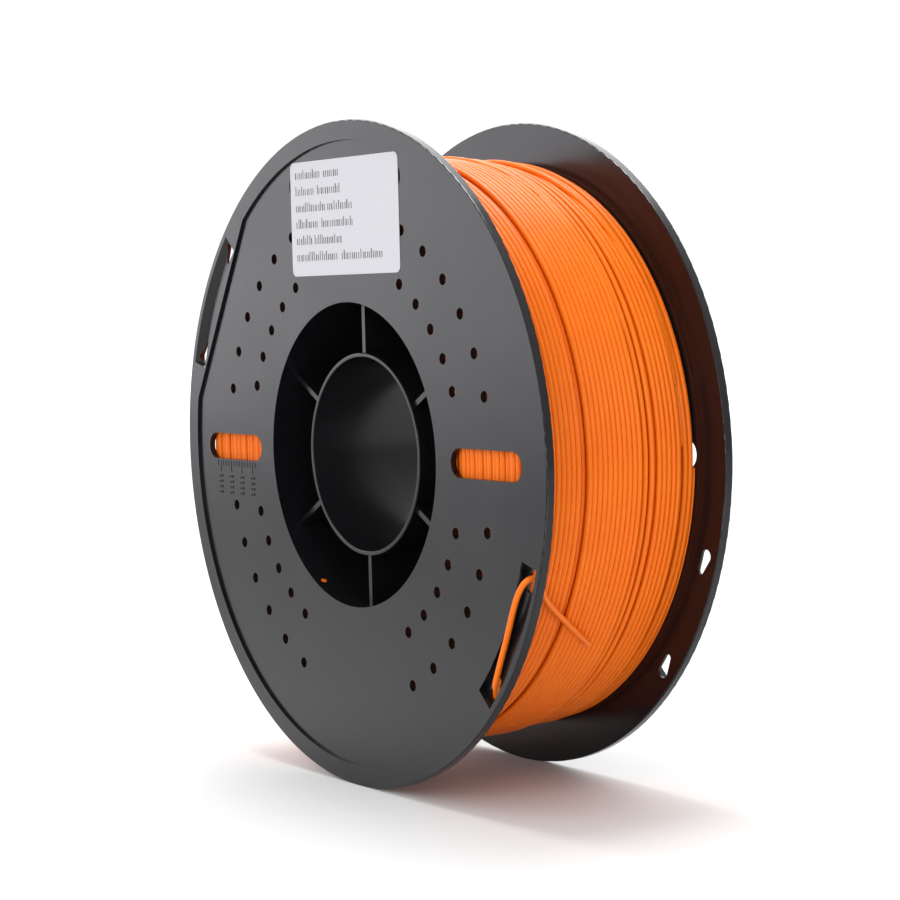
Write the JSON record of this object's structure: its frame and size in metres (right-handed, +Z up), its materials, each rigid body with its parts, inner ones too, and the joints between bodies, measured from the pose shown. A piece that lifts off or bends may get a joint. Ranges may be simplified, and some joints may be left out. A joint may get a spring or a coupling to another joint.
{
  "type": "filament spool",
  "caption": "Flat two-flange spool wound full of round plastic filament, with a ribbed open hub, a central bore and the filament's end clipped in a rim pocket.",
  "frame": {"origin": "centre of the bore, midway between the flanges", "axes": "+Y along the spool's axis from the labelled front flange to the back flange, +Z up through the middle of the label"},
  "size_m": [0.2, 0.0669, 0.2],
  "materials": {
    "spool": "satin moulded dark grey",
    "filament": "semi-gloss orange",
    "label": "smooth white label stock"
  },
  "bodies": {
    "root": {"front_flange": "spool", "back_flange": "spool", "hub_collar": "spool", "hub_drum": "spool", "bore_tube": "spool", "hub_rib_1": "spool", "hub_rib_2": "spool", "hub_rib_3": "spool", "hub_rib_4": "spool", "hub_rib_5": "spool", "hub_rib_6": "spool", "filament_winding": "filament", "filament_tail": "filament", "filament_start_end": "filament", "label": "label"}
  },
  "joints": []
}
